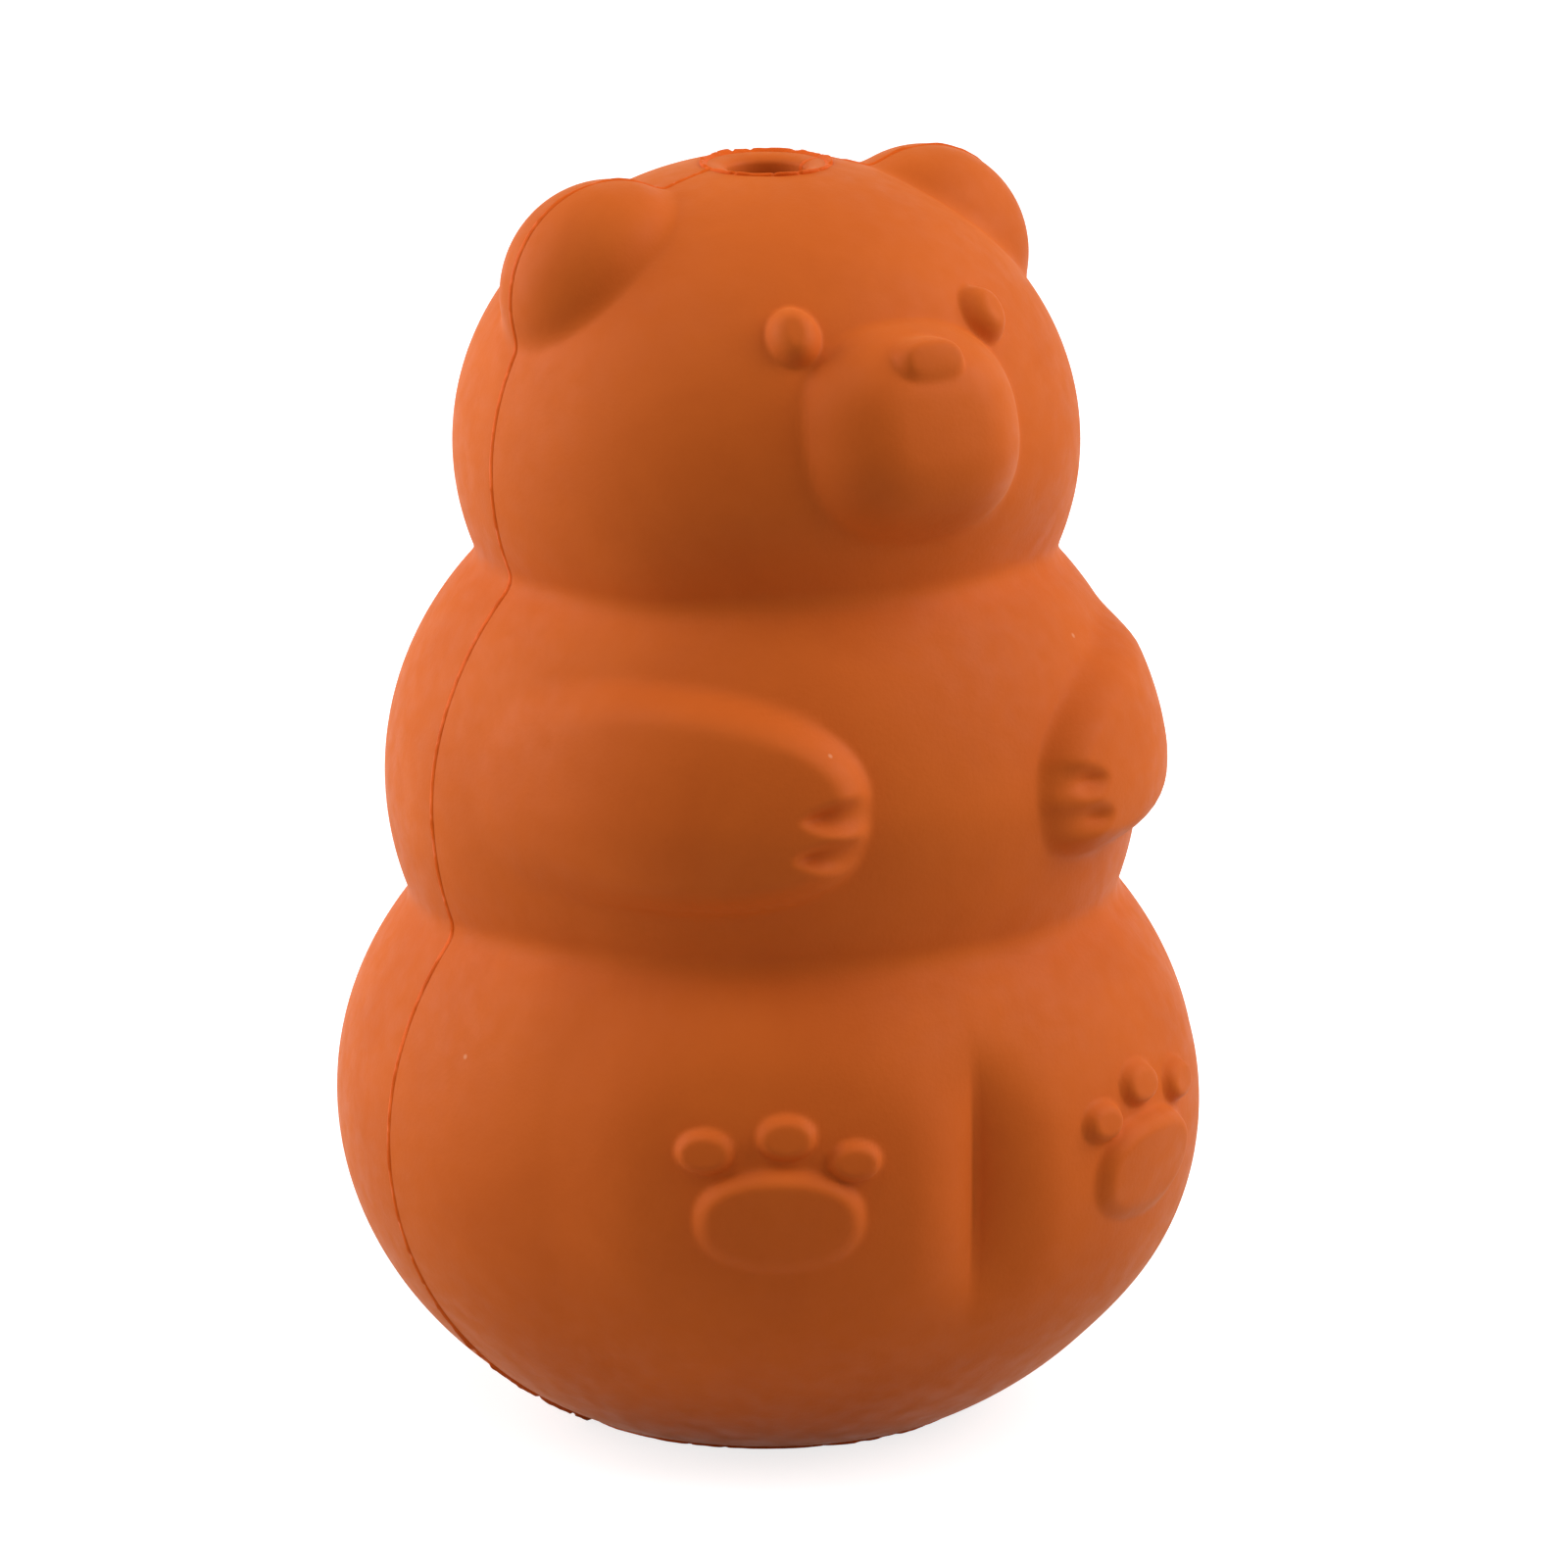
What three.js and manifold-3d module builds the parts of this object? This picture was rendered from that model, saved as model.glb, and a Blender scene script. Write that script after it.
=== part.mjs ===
// A hollow treat toy in the shape of a sitting bear, moulded in natural rubber of one colour.
// The mould's two halves meet on the middle plane, where a thin web of flash stands proud as the seam.
// A core leaves the treat chamber, the wide mouth in the base and the small hole in the crown.
// Millimetres and degrees. +Z is up, the bear faces -Y, and the origin is the middle of the flat base.
import * as THREE from 'three';
import { mergeVertices } from 'three/addons/utils/BufferGeometryUtils.js';
import Module from 'manifold-3d';

const wasm = await Module();
wasm.setup();

// Outline of the body, from the base up: the girth of each round lobe and the creases between them
const seatRadius = 38.5;
const seatLift = 28.8;
const seatShoulder = 18.2;
const waistDepth = 2.3;
const torsoRadius = 34;
const torsoLift = 11;
const torsoShoulder = 20;
const neckDepth = 2.2;
const headRadius = 27.8;
const headLift = 10;
const crownRise = 24.8;

// Treat chamber, the mouth in the base and the hole in the crown, each with a flat land round it
const wall = 8.5;
const mouthRadius = 13.3;
const mouthDepth = 6;
const baseLandWidth = 4.1;
const crownBoreRadius = 3.5;
const crownWall = 8;
const countersinkFlare = 1.5;
const countersinkDepth = 2.6;
const crownLandWidth = 0.8;

// Flash that the mould leaves: the seam web and the ring round each end of the core
const seamThickness = 0.6;
const seamProud = 0.35;
const flashHeight = 0.45;
const baseFlashInset = 1;
const baseFlashOverhang = 0.5;
const flashClearance = 0.3;

// Ears, measured from the middle plane and from the widest girth of the head
const earOffset = 15.9;
const earRise = 15;
const earRadius = 9.9;
const earThickness = 17.2;

// Face, placed by angles round from the front and up from the widest girth of the head
const eyeRound = 24.2;
const eyeClimb = 33.8;
const eyeWidth = 4.8;
const eyeHeight = 5.8;
const eyeDepth = 4;
const eyeProud = 1.4;
const eyeTilt = 9;
const muzzleClimb = 10.2;
const muzzleWidth = 24.6;
const muzzleHeight = 19.8;
const muzzleDepth = 20.6;
const muzzleProud = 3;
const noseClimb = 47;
const noseWidth = 7.4;
const noseHeight = 4.8;
const noseDepth = 3;
const noseProud = 0.9;

// Arms folded forward on the torso, with notches between the fingers round the end of each arm
const armRound = 46;
const armClimb = 9.8;
const armLength = 37;
const armHeight = 21;
const armDepth = 16.4;
const armProud = 3;
const armTurn = 6;
const notchRound = 66;
const notchDrop = 10.5;
const notchSpread = 19;
const notchLength = 8;
const notchHeight = 1.3;
const notchDepth = 3;
const notchCut = 1.4;

// Legs on the lowest lobe, the groove between them and the paw print on each sole
const legRound = 30;
const legDrop = 4.1;
const legWidth = 36;
const legHeight = 33;
const legDepth = 12;
const legProud = 0.2;
const grooveWidth = 11;
const grooveDepth = 3.8;
const grooveLip = 1.2;
const printRound = 4.5;
const padClimb = 2.8;
const padWidth = 14.6;
const padHeight = 9.8;
const padDepth = 3;
const padProud = 0.9;
const toeClimb = 24;
const middleToeLift = 7.4;
const toeSpread = 23.7;
const toeWidth = 5.3;
const toeHeight = 4.4;
const toeDepth = 3;
const toeProud = 0.9;

// Facets: fine enough to read as round, few enough to stay light
const girthSides = 56;
const chamberSides = 32;
const ringSides = 40;
const arcStep = 13;
const largeBall = [20, 10];
const smallBall = [12, 7];
const grooveSteps = 4;
const margin = 5;
const weld = 1e-4;

const rubber = { color: 0xc75f2a, roughness: 0.62, metalness: 0 };
const flash = { color: 0xb9511f, roughness: 0.6, metalness: 0 };

// Heights and radii that follow from the driving sizes
const baseLandRadius = mouthRadius + baseLandWidth;
const countersinkRadius = crownBoreRadius + countersinkFlare;
const crownLandRadius = countersinkRadius + crownLandWidth;
const waistRadius = Math.min(seatRadius, torsoRadius) - waistDepth;
const neckRadius = Math.min(torsoRadius, headRadius) - neckDepth;
const waistHeight = seatLift + seatShoulder;
const torsoHeight = waistHeight + torsoLift;
const neckHeight = torsoHeight + torsoShoulder;
const headHeight = neckHeight + headLift;
const crownHeight = headHeight + crownRise;
const seamHalf = seamThickness / 2;

// An ellipsoid is a frame, whose axes point aside, up and out, with the radii along those axes
const forward = (height) => new THREE.Matrix4()
  .makeBasis(new THREE.Vector3(1, 0, 0), new THREE.Vector3(0, 0, 1), new THREE.Vector3(0, -1, 0))
  .setPosition(0, 0, height);

// A lobe is part of an ellipsoid each way from its widest girth, ending where it meets what is below or above
const lobe = (radius, height, lowEnd, highEnd) => {
  const half = ([endRadius, endHeight]) => {
    const angle = Math.acos(endRadius / radius);
    const reach = Math.abs(endHeight - height) / Math.sin(angle);
    return { angle, frame: forward(height), radii: new THREE.Vector3(radius, reach, radius) };
  };
  return { radius, height, low: half(lowEnd), high: half(highEnd) };
};

const waist = [waistRadius, waistHeight];
const neck = [neckRadius, neckHeight];
const seat = lobe(seatRadius, seatLift, [baseLandRadius, 0], waist);
const torso = lobe(torsoRadius, torsoHeight, waist, neck);
const head = lobe(headRadius, headHeight, neck, [crownLandRadius, crownHeight]);

const arcPoints = ({ radius, height, low, high }, grow) => {
  const points = [];
  const trace = (half, direction, from, to) => {
    const steps = Math.ceil(THREE.MathUtils.radToDeg(half.angle) / arcStep);
    for (let i = 0; i <= steps; i += 1) {
      const angle = half.angle * THREE.MathUtils.lerp(from, to, i / steps);
      const across = radius * Math.cos(angle) + grow;
      points.push(new THREE.Vector2(across, height + direction * half.radii.y * Math.sin(angle)));
    }
  };
  trace(low, -1, 1, 0);
  trace(high, 1, 0, 1);
  return points;
};

// Solids: a closed three.js geometry becomes a manifold, which joins and cuts
const solid = (geometry) => {
  geometry.deleteAttribute('normal');
  geometry.deleteAttribute('uv');
  const welded = mergeVertices(geometry, weld);
  const corners = welded.index.array;
  const triangles = [];
  for (let i = 0; i < corners.length; i += 3) {
    const [a, b, c] = corners.slice(i, i + 3);
    if (a !== b && b !== c && c !== a) triangles.push(a, b, c);
  }
  return new wasm.Manifold(new wasm.Mesh({
    numProp: 3,
    vertProperties: new Float32Array(welded.attributes.position.array),
    triVerts: new Uint32Array(triangles),
  }));
};

const revolve = (points, sides) => {
  const geometry = new THREE.LatheGeometry(points, sides);
  geometry.rotateX(Math.PI / 2);
  return solid(geometry);
};

const block = (low, high) => {
  const size = new THREE.Vector3().subVectors(high, low);
  const geometry = new THREE.BoxGeometry(size.x, size.y, size.z);
  const middle = new THREE.Vector3().addVectors(low, high).multiplyScalar(0.5);
  return solid(geometry.translate(middle.x, middle.y, middle.z));
};

// A place on an ellipsoid, by angles round and up from the middle of its front, with the way that faces out
const placeOn = ({ frame, radii }, round, climb) => {
  const fromTop = THREE.MathUtils.degToRad(90 - climb);
  const ray = new THREE.Vector3().setFromSphericalCoords(1, fromTop, THREE.MathUtils.degToRad(round));
  const out = ray.clone().divide(radii).normalize();
  const side = new THREE.Vector3(0, 1, 0).cross(out).normalize();
  const up = out.clone().cross(side);
  const spot = new THREE.Matrix4().makeBasis(side, up, out).setPosition(ray.multiply(radii));
  return frame.clone().multiply(spot);
};

// A round swelling whose outermost point stands proud of its place
const swelling = (place, { width, height, depth, proud, tilt = 0, turn = 0 }) => {
  const frame = place.clone()
    .multiply(new THREE.Matrix4().makeTranslation(0, 0, proud - depth / 2))
    .multiply(new THREE.Matrix4().makeRotationZ(THREE.MathUtils.degToRad(tilt)))
    .multiply(new THREE.Matrix4().makeRotationY(THREE.MathUtils.degToRad(turn)));
  return { frame, radii: new THREE.Vector3(width, height, depth).divideScalar(2) };
};

const ball = ({ frame, radii }, facets) => {
  const geometry = new THREE.SphereGeometry(1, ...facets);
  return solid(geometry.scale(...radii).applyMatrix4(frame));
};

const bothSides = (make) => make(-1).add(make(1));

const bodyForm = (grow) => {
  const outline = [seat, torso, head].flatMap((part) => arcPoints(part, grow));
  return revolve([new THREE.Vector2(0, 0), ...outline, new THREE.Vector2(0, crownHeight)], girthSides);
};

const earForm = (grow) => bothSides((side) => ball({
  frame: new THREE.Matrix4().makeTranslation(side * earOffset, 0, headHeight + earRise),
  radii: new THREE.Vector3(earRadius, earThickness / 2, earRadius).addScalar(grow),
}, largeBall));

const muzzle = swelling(placeOn(head.high, 0, muzzleClimb), {
  width: muzzleWidth, height: muzzleHeight, depth: muzzleDepth, proud: muzzleProud,
});

const faceForm = () => {
  const nose = swelling(placeOn(muzzle, 0, noseClimb), {
    width: noseWidth, height: noseHeight, depth: noseDepth, proud: noseProud,
  });
  const eyes = bothSides((side) => ball(swelling(placeOn(head.high, side * eyeRound, eyeClimb), {
    width: eyeWidth, height: eyeHeight, depth: eyeDepth, proud: eyeProud, tilt: -side * eyeTilt,
  }), smallBall));
  return ball(muzzle, largeBall).add(ball(nose, smallBall)).add(eyes);
};

// Each paw is the blunt end of an arm, parted into fingers by two notches
const armForm = () => bothSides((side) => {
  const arm = swelling(placeOn(torso.high, side * armRound, armClimb), {
    width: armLength, height: armHeight, depth: armDepth, proud: armProud, turn: side * armTurn,
  });
  const notches = [-0.5, 0.5].map((step) => {
    const place = placeOn(arm, -side * notchRound, step * notchSpread - notchDrop);
    return ball(swelling(place, {
      width: notchLength, height: notchHeight, depth: notchDepth, proud: notchDepth - notchCut,
    }), smallBall);
  });
  return notches.reduce((paw, notch) => paw.subtract(notch), ball(arm, largeBall));
});

const leg = (side) => swelling(placeOn(seat.low, side * legRound, -legDrop), {
  width: legWidth, height: legHeight, depth: legDepth, proud: legProud,
});

const legForm = () => bothSides((side) => ball(leg(side), largeBall));

// The legs round over into the groove, so the cut between them has hollow sides
const grooveCut = () => {
  const half = grooveWidth / 2;
  const surface = -(seatRadius + legProud);
  const section = new THREE.Shape();
  section.moveTo(0, grooveDepth + surface);
  section.quadraticCurveTo(-grooveLip, surface, -half, surface);
  section.lineTo(-half, surface - margin);
  section.lineTo(half, surface - margin);
  section.lineTo(half, surface);
  section.quadraticCurveTo(grooveLip, surface, 0, grooveDepth + surface);
  return solid(new THREE.ExtrudeGeometry(section, {
    depth: waistHeight, bevelEnabled: false, curveSegments: grooveSteps,
  }));
};

const pawPrints = () => bothSides((side) => {
  const pad = swelling(placeOn(leg(side), -side * printRound, padClimb), {
    width: padWidth, height: padHeight, depth: padDepth, proud: padProud,
  });
  const toes = [-1, 0, 1].map((step) => {
    const lift = step === 0 ? middleToeLift : 0;
    const place = placeOn(leg(side), step * toeSpread - side * printRound, toeClimb + lift);
    return ball(swelling(place, {
      width: toeWidth, height: toeHeight, depth: toeDepth, proud: toeProud,
    }), smallBall);
  });
  return toes.reduce((print, toe) => print.add(toe), ball(pad, smallBall));
});

// The core follows the lobes one wall in, from the mouth in the base to the hole in the crown
const coreForm = () => {
  const inWaist = [waistRadius - wall, waistHeight];
  const inNeck = [neckRadius - wall, neckHeight];
  const chambers = [
    lobe(seatRadius - wall, seatLift, [mouthRadius, mouthDepth], inWaist),
    lobe(torsoRadius - wall, torsoHeight, inWaist, inNeck),
    lobe(headRadius - wall, headHeight, inNeck, [crownBoreRadius, crownHeight - crownWall]),
  ];
  return revolve([
    new THREE.Vector2(0, -margin),
    new THREE.Vector2(mouthRadius, -margin),
    ...chambers.flatMap((chamber) => arcPoints(chamber, 0)),
    new THREE.Vector2(crownBoreRadius, crownHeight - countersinkDepth),
    new THREE.Vector2(countersinkRadius, crownHeight),
    new THREE.Vector2(countersinkRadius, crownHeight + margin),
    new THREE.Vector2(0, crownHeight + margin),
  ], chamberSides);
};

const ring = (inner, outer, low, high) => revolve([
  new THREE.Vector2(inner, low),
  new THREE.Vector2(outer, low),
  new THREE.Vector2(outer, high),
  new THREE.Vector2(inner, high),
  new THREE.Vector2(inner, low),
], ringSides);

const baseFlashInner = baseLandRadius - baseFlashInset;
const baseFlashOuter = baseLandRadius + baseFlashOverhang;
const flashRebate = ring(baseFlashInner - flashClearance, seatRadius, -margin, flashHeight);
const core = coreForm().add(flashRebate);

// What lies between two upright planes, over the whole height and width of the bear
const far = seatRadius + crownHeight;
const between = (low, high) => block(
  new THREE.Vector3(low.x ?? -far, low.y ?? -far, -margin),
  new THREE.Vector3(high.x ?? far, high.y ?? far, far),
);

const bear = bodyForm(0)
  .add(legForm())
  .subtract(grooveCut())
  .add(pawPrints())
  .add(armForm())
  .add(faceForm())
  .add(earForm(0))
  .subtract(core);
const seamWeb = bodyForm(seamProud).add(earForm(seamProud)).subtract(core);

const pieces = {
  front_shell: [bear.intersect(between({}, { y: -seamHalf })), rubber],
  rear_shell: [bear.intersect(between({ y: seamHalf }, {})), rubber],
  right_seam: [seamWeb.intersect(between({ y: -seamHalf }, { x: 0, y: seamHalf })), flash],
  left_seam: [seamWeb.intersect(between({ x: 0, y: -seamHalf }, { y: seamHalf })), flash],
  crown_flash: [ring(countersinkRadius, crownLandRadius, crownHeight, crownHeight + flashHeight), flash],
  base_flash: [ring(baseFlashInner, baseFlashOuter, 0, flashHeight), flash],
};

const toy = new THREE.Group();
for (const [name, [form, finish]] of Object.entries(pieces)) {
  const { vertProperties, triVerts } = form.getMesh();
  const geometry = new THREE.BufferGeometry();
  geometry.setAttribute('position', new THREE.BufferAttribute(vertProperties, 3));
  geometry.setIndex(new THREE.BufferAttribute(triVerts, 1));
  geometry.computeVertexNormals();
  const mesh = new THREE.Mesh(geometry, new THREE.MeshStandardMaterial(finish));
  mesh.name = name;
  toy.add(mesh);
}

export default toy;
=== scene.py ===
# %% [markdown]
# # A rubber treat toy in the shape of a sitting bear
# The real toy is one hollow moulding of orange natural rubber. Two mould halves and a core made it, so
# it shows a parting line down each side, a ring of flash round each end of the core, and no fastener at
# all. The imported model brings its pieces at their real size. This file gives each piece its looks.

# %% Load the frame
import math

import bmesh
import bpy
import numpy as np
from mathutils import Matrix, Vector, noise


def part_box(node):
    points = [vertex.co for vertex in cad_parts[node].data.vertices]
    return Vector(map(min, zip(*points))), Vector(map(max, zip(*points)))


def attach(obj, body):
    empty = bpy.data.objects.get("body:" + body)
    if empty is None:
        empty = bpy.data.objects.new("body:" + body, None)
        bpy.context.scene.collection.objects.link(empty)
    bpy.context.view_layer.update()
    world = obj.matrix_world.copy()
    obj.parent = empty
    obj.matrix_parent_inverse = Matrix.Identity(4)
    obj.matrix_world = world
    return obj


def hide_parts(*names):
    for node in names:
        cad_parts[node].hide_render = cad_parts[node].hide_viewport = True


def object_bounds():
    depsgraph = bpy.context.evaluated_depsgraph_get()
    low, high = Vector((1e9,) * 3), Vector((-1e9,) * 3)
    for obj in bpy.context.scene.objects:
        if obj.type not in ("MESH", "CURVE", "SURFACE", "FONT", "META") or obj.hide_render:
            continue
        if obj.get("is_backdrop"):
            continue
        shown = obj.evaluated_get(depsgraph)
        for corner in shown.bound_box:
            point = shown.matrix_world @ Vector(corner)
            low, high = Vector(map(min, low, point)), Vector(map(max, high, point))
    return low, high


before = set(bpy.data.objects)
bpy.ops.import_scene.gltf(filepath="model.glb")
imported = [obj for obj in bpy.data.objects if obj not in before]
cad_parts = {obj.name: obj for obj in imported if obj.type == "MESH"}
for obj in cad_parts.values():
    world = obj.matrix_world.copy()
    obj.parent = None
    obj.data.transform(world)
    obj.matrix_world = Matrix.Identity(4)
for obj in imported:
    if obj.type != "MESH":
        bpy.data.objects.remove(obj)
cad_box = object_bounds()
print("solids:", ", ".join(sorted(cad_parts)))

# %% [markdown]
# ## Sizes
# Sizes are in millimetres while a piece is being made, and each mesh is scaled to metres when it is
# done. The rims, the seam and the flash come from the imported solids. The girths and creases are those of
# the mould.

# %% Sizes of the body
METRES, MILLILITRE = 0.001, 1000
base_overhang = 0.5
base_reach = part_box("base_flash")[1].x / METRES
base_rim = base_reach - base_overhang
flash_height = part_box("base_flash")[1].z / METRES
crown_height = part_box("front_shell")[1].z / METRES
crown_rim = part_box("crown_flash")[1].x / METRES
half_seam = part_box("left_seam")[1].y / METRES
seat_radius, seat_height = 38.5, 28.8
waist_radius, waist_height = 31.7, 47.0
torso_radius, torso_height = 34.0, 58.0
neck_radius, neck_height = 25.6, 78.0
head_radius, head_height = 27.8, 88.0
print(f"crown at {crown_height:.1f} mm, base rim {base_rim:.1f} mm, seam {2 * half_seam:.1f} mm wide")

# %% [markdown]
# ## Three lobes
# The body is a stack of three round lobes, like a bowling pin's. Each is part of an ellipsoid, which is
# fully given by its widest girth and by the radius and height where it ends. Two small helpers go with
# the lobes: a soft maximum, which rounds off the crease where two of them meet, and a smooth climb from
# 0 to 1.

# %% Lobes
class Lobe:
    """A round stretch of the body: part of an ellipsoid each way from its widest girth."""

    def __init__(self, radius, height, low, high):
        self.radius, self.height = radius, height
        self.low_angle, self.low_reach = self.half(low)
        self.high_angle, self.high_reach = self.half(high)

    def half(self, end):
        """The angle and the reach of a half that ends at this radius and height."""
        angle = math.acos(end[0] / self.radius)
        return angle, abs(end[1] - self.height) / math.sin(angle)

    def girth(self, z):
        """The lobe's radius at a height, or nothing beyond its reach."""
        reach = np.where(np.asarray(z) < self.height, self.low_reach, self.high_reach)
        return self.radius * np.sqrt(np.clip(1 - ((z - self.height) / reach) ** 2, 0, None))

    def outline(self, step):
        """Points up the side of the lobe, about one step apart."""
        count = round(self.radius * (self.low_angle + self.high_angle) / step)
        for angle in np.linspace(-self.low_angle, self.high_angle, count):
            reach = self.low_reach if angle < 0 else self.high_reach
            yield self.radius * math.cos(angle), self.height + reach * math.sin(angle)


def soft_max(a, b, softness):
    """The larger of two values, rounded off where they meet."""
    blend = np.clip(1 - np.abs(a - b) / softness, 0, None)
    return np.maximum(a, b) + blend ** 2 * softness / 4


def ease(value, start, end):
    """A smooth climb from 0 at the start to 1 at the end."""
    share = np.clip((value - start) / (end - start), 0, 1)
    return share ** 2 * (3 - 2 * share)


waist = (waist_radius, waist_height)
neck = (neck_radius, neck_height)
seat = Lobe(seat_radius, seat_height, (base_rim, 0), waist)
torso = Lobe(torso_radius, torso_height, waist, neck)
head = Lobe(head_radius, head_height, neck, (crown_rim, crown_height))
lobes = (seat, torso, head)
print("reach of the lobes, up and down:", [(round(p.high_reach, 1), round(p.low_reach, 1)) for p in lobes])

# %% [markdown]
# ## Camera
# The photograph was taken from the bear's right, a little above it, with a long lens.

# %% Camera at the photograph's angle
AZIMUTH, ELEVATION = math.radians(-30.14), math.radians(14.19)
DISTANCE, SENSOR, LENS = 1.1, 36, 283.4
aim_height, aim_right, aim_down = 57.0, 1.57, 0.5
back = Vector((
    math.sin(AZIMUTH) * math.cos(ELEVATION),
    -math.cos(AZIMUTH) * math.cos(ELEVATION),
    math.sin(ELEVATION),
))
right = Vector((math.cos(AZIMUTH), math.sin(AZIMUTH), 0))
up = back.cross(right)
aim = (Vector((0, 0, aim_height)) + right * aim_right - up * aim_down) * METRES
camera = bpy.data.objects.new("photo_camera", bpy.data.cameras.new("photo_camera"))
camera.data.sensor_width = SENSOR
camera.data.lens = LENS
camera.location = aim + back * DISTANCE
camera.rotation_euler = (-back).to_track_quat("-Z", "Y").to_euler()
bpy.context.scene.collection.objects.link(camera)
bpy.context.scene.camera = camera
print("camera at", [round(x, 3) for x in camera.location])

# %% [markdown]
# ## The skin, spun
# The body is round, so half its outline is drawn once and spun about the upright axis. The outline goes
# up the outside, over the crown, down the bore and through the treat chamber, and back to the base, so
# that one spin makes the hollow wall as well. Joined balls would do for the lobes, but a spun skin keeps
# its faces in even rows, which the later steps push into shape.

# %% Outline of the wall
skin_step, chamber_step = 0.62, 2.6
crease_softness = 1.5
wall = 8.5
mouth_radius, mouth_depth = 13.3, 6.0
rebate_radius = 16.1
bore_radius, crown_wall = 3.5, 8.0
dish_flare, dish_depth, dish_points = 1.6, 0.8, 9


def outside():
    """Up the outside of the lobes, from the base's flash to the crown, with round creases."""
    for i, part in enumerate(lobes):
        for r, z in part.outline(skin_step):
            for other in lobes[max(i - 1, 0):i + 2]:
                if other is not part:
                    r = float(soft_max(r, float(other.girth(z)), crease_softness))
            if z > flash_height:
                yield r, z


def dish():
    """The rounded mouth of the crown hole, from its rim in to the bore."""
    for angle in np.linspace(0, math.pi / 2, dish_points):
        radius = bore_radius + dish_flare * (1 - math.sin(angle))
        yield radius, crown_height - dish_depth * (1 - math.cos(angle))


def inside():
    """Down the treat chamber, from the bore to the mouth."""
    low_crease = (waist_radius - wall, waist_height)
    high_crease = (neck_radius - wall, neck_height)
    chambers = [
        Lobe(seat_radius - wall, seat_height, (mouth_radius, mouth_depth), low_crease),
        Lobe(torso_radius - wall, torso_height, low_crease, high_crease),
        Lobe(head_radius - wall, head_height, high_crease, (bore_radius, crown_height - crown_wall)),
    ]
    for part in reversed(chambers):
        yield from reversed(list(part.outline(chamber_step)))


base = [(mouth_radius, 0), (rebate_radius, 0), (rebate_radius, flash_height)]
wall_outline = [*base, *outside(), *dish(), *inside()]
print(f"outline of the wall: {len(wall_outline)} points")

# %% [markdown]
# ### Spinning it
# A full spin would leave a doubled row of vertices where it closes, so its ends are merged. A spin can
# also turn a shape inside out, so the normals are worked out again afterwards.

# %% Spin
girth_steps = 360
merge_distance = 1e-4


def spun(outline, steps):
    """A closed ring of points in the XZ plane, spun into a solid."""
    bm = bmesh.new()
    ring = [bm.verts.new((r, 0, z)) for r, z in outline]
    edges = [bm.edges.new((a, b)) for a, b in zip(ring, ring[1:] + ring[:1])]
    bmesh.ops.spin(
        bm, geom=ring + edges, cent=(0, 0, 0), axis=(0, 0, 1), angle=math.tau, steps=steps, use_merge=True,
    )
    bmesh.ops.remove_doubles(bm, verts=bm.verts, dist=merge_distance)
    bmesh.ops.recalc_face_normals(bm, faces=bm.faces)
    return bm


skin = spun(wall_outline, girth_steps)
print(f"skin: {len(skin.faces)} faces, volume {skin.calc_volume() / MILLILITRE:.1f} ml")

# %% [markdown]
# ## Finer faces where the detail is
# Toes, fingers and eyes are only a few millimetres across. Faces near them are split once more, and the
# rest of the skin stays as it is. A place on a lobe is given by degrees round from the front and degrees
# up from its widest girth, as on a globe.

# %% Places on the body, and finer faces round them
class Place:
    """A spot on a surface, with the ways that point aside, up and out from it."""

    def __init__(self, spot, out):
        self.spot, self.out = Vector(spot), Vector(out).normalized()
        self.side = Vector((0, 0, 1)).cross(self.out).normalized()
        self.up = self.out.cross(self.side)


def on_lobe(part, around, climb):
    """A place on a lobe, by degrees round from the front and up from its widest girth."""
    around, climb = math.radians(around), math.radians(climb)
    reach = part.low_reach if climb < 0 else part.high_reach
    way = Vector((math.sin(around) * math.cos(climb), -math.cos(around) * math.cos(climb), math.sin(climb)))
    size = Vector((part.radius, part.radius, reach))
    return Place(
        Vector((0, 0, part.height)) + Vector(a * b for a, b in zip(way, size)),
        Vector(a / b for a, b in zip(way, size)),
    )


sides = (-1, 1)
eye_around, eye_climb = 24.2, 33.8
fine_zones = [
    # Lobe, degrees round, degrees up and reach: the eyes, the nose, the fingers and the paw prints.
    (head, eye_around, eye_climb, 6),
    (head, 0, 28, 9),
    (torso, 20, 5, 9),
    (seat, 28, 4, 15),
]
ear_zone, ear_zone_reach = (20, 0, 106), 12.5
fine_spots = []
for side in sides:
    fine_spots += [(on_lobe(part, side * turn, climb).spot, far) for part, turn, climb, far in fine_zones]
    fine_spots.append((Vector((side * ear_zone[0], *ear_zone[1:])), ear_zone_reach))
fine_edges = set()
for face in skin.faces:
    centre = face.calc_center_median()
    if any((centre - spot).length < far for spot, far in fine_spots):
        fine_edges.update(face.edges)
bmesh.ops.subdivide_edges(skin, edges=list(fine_edges), cuts=1, use_grid_fill=True)
print(f"skin with finer faces: {len(skin.faces)} faces")

# %% [markdown]
# ## Pushing the skin into shape
# The mould has hollows for the arms, legs and face, and the rubber swells into them. Here every vertex
# of the skin lies on a ray from the middle of the body, level up to the head's girth and fanning out
# above it. Each form moves vertices along their rays. Fusing solids by remeshing would blur the small
# forms, and this keeps them crisp.

# %% Rays through the skin
points = np.array([v.co for v in skin.verts])
heights = points[:, 2]
around = np.degrees(np.arctan2(np.abs(points[:, 0]), -points[:, 1]))
middle = np.zeros_like(points)
middle[:, 2] = np.minimum(heights, head_height)
reach = np.linalg.norm(points - middle, axis=1)
way = (points - middle) / reach[:, None]
girth = np.max([part.girth(heights) for part in lobes], axis=0)
outer = np.hypot(points[:, 0], points[:, 1]) > girth - wall / 2
print(f"{outer.sum()} of {len(points)} vertices are on the outside")


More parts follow.
